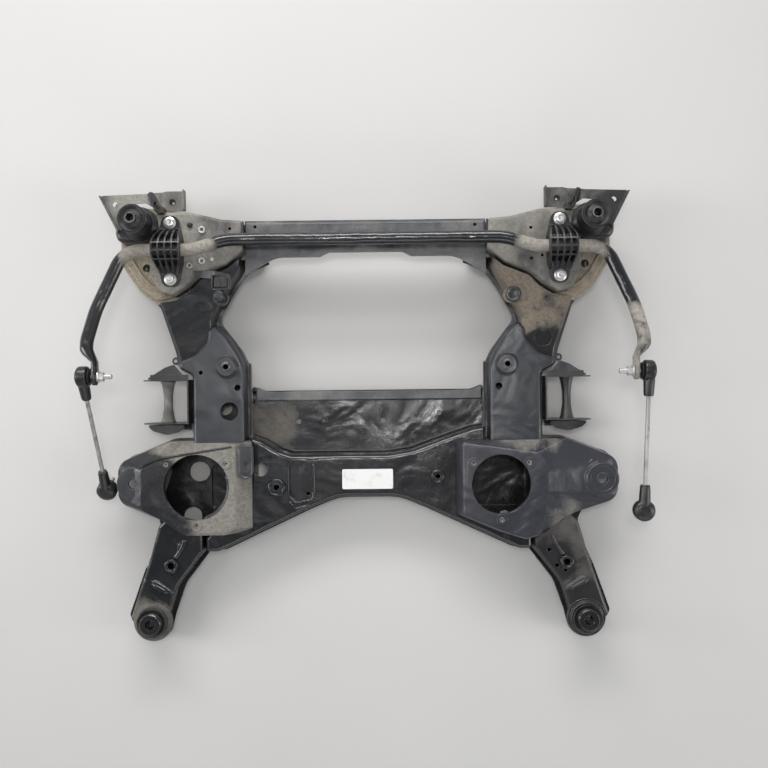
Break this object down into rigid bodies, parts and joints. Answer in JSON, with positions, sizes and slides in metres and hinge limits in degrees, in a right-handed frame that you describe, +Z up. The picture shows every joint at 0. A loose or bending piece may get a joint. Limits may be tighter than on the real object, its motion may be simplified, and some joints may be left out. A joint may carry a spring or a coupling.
{
  "type": "car front subframe",
  "caption": "Front subframe of a car in black pressed steel: welded shells with engine mounts, body bushes, a clamped anti-roll bar and its drop links.",
  "frame": {"origin": "centre of the bounding box at the lowest level of the shells, with the links as they hang in the picture", "axes": "+X to the vehicle's right, +Y forwards, +Z up; the picture looks down on the side that faces up"},
  "size_m": [1.0922, 0.8988, 0.2095],
  "materials": {
    "black_paint": "gloss black stoving paint, dusty",
    "bright_zinc": "bright zinc plating",
    "bare_steel": "bare machined steel, dulled",
    "rubber": "matt black",
    "moulded_plastic": "satin black moulding"
  },
  "bodies": {
    "carrier": {"arm_bracket_left": "black_paint", "arm_bracket_right": "black_paint", "bar_bush_left": "rubber", "bar_bush_right": "rubber", "bar_clamp_left": "moulded_plastic", "bar_clamp_right": "moulded_plastic", "cable_bracket": "black_paint", "clamp_bolt_front_left": "bright_zinc", "clamp_bolt_front_right": "bright_zinc", "clamp_bolt_rear_left": "bright_zinc", "clamp_bolt_rear_right": "bright_zinc", "engine_console_left": "black_paint", "engine_console_right": "black_paint", "front_bracket_left": "black_paint", "front_bracket_right": "black_paint", "front_bush_rubber_left": "rubber", "front_bush_rubber_right": "rubber", "front_bush_sleeve_left": "bare_steel", "front_bush_sleeve_right": "bare_steel", "front_cover_left": "black_paint", "front_cover_right": "black_paint", "front_crossmember_lower": "black_paint", "front_crossmember_upper": "black_paint", "front_gusset_lower_left": "black_paint", "front_gusset_lower_right": "black_paint", "front_gusset_upper_left": "black_paint", "front_gusset_upper_right": "black_paint", "front_tower_left": "black_paint", "front_tower_right": "black_paint", "rack_mount_left": "black_paint", "rack_mount_right": "black_paint", "rear_arm_left": "black_paint", "rear_arm_right": "black_paint", "rear_bush_rubber_left": "rubber", "rear_bush_rubber_right": "rubber", "rear_bush_sleeve_left": "bare_steel", "rear_bush_sleeve_right": "bare_steel", "rear_crossmember_lower": "black_paint", "rear_crossmember_upper": "black_paint", "side_member_lower_left": "black_paint", "side_member_lower_right": "black_paint", "side_member_upper_left": "black_paint", "side_member_upper_right": "black_paint"},
    "bar": {"anti_roll_bar": "black_paint", "link_nut_left": "bright_zinc", "link_nut_right": "bright_zinc", "link_upper_stud_left": "bright_zinc", "link_upper_stud_right": "bright_zinc"},
    "upper_boot_left": {"link_upper_boot_left": "rubber"},
    "link_left": {"link_rod_left": "bright_zinc", "link_upper_housing_left": "moulded_plastic", "link_lower_housing_left": "moulded_plastic"},
    "lower_boot_left": {"link_lower_boot_left": "rubber"},
    "lower_stud_left": {"link_lower_stud_left": "bright_zinc"},
    "upper_boot_right": {"link_upper_boot_right": "rubber"},
    "link_right": {"link_rod_right": "bright_zinc", "link_upper_housing_right": "moulded_plastic", "link_lower_housing_right": "moulded_plastic"},
    "lower_boot_right": {"link_lower_boot_right": "rubber"},
    "lower_stud_right": {"link_lower_stud_right": "bright_zinc"}
  },
  "joints": [
    {"name": "bar_roll", "type": "hinge", "parent": "carrier", "child": "bar", "pos_m": [0, 0.328, 0.138], "axis": [1, 0, 0], "range_deg": [-15, 15]},
    {"name": "link_swing_left", "type": "hinge", "parent": "bar", "child": "upper_boot_left", "pos_m": [-0.531, 0.084, 0.19], "axis": [1, 0, 0], "range_deg": [-119, 61]},
    {"name": "link_tilt_left", "type": "hinge", "parent": "upper_boot_left", "child": "link_left", "pos_m": [-0.531, 0.084, 0.19], "axis": [0, 0.4848, -0.8746], "range_deg": [0, 14], "deforming": ["link_upper_boot_left"]},
    {"name": "lower_swivel_left", "type": "hinge", "parent": "link_left", "child": "lower_boot_left", "pos_m": [-0.52826, -0.14514, 0.06299], "axis": [0, -0.4848, 0.8746], "continuous": true},
    {"name": "lower_tilt_left", "type": "hinge", "parent": "lower_boot_left", "child": "lower_stud_left", "pos_m": [-0.52826, -0.14514, 0.06299], "axis": [1, 0, 0], "range_deg": [-18, 18], "deforming": ["link_lower_boot_left"]},
    {"name": "link_swing_right", "type": "hinge", "parent": "bar", "child": "upper_boot_right", "pos_m": [0.531, 0.084, 0.19], "axis": [1, 0, 0], "range_deg": [-90, 20]},
    {"name": "link_tilt_right", "type": "hinge", "parent": "upper_boot_right", "child": "link_right", "pos_m": [0.531, 0.084, 0.19], "axis": [0, 0, 1], "range_deg": [-12, 16], "deforming": ["link_upper_boot_right"]},
    {"name": "lower_swivel_right", "type": "hinge", "parent": "link_right", "child": "lower_boot_right", "pos_m": [0.5182, -0.17769, 0.19], "axis": [0, 0, 1], "continuous": true},
    {"name": "lower_tilt_right", "type": "hinge", "parent": "lower_boot_right", "child": "lower_stud_right", "pos_m": [0.5182, -0.17769, 0.19], "axis": [1, 0, 0], "range_deg": [-18, 18], "deforming": ["link_lower_boot_right"]}
  ]
}
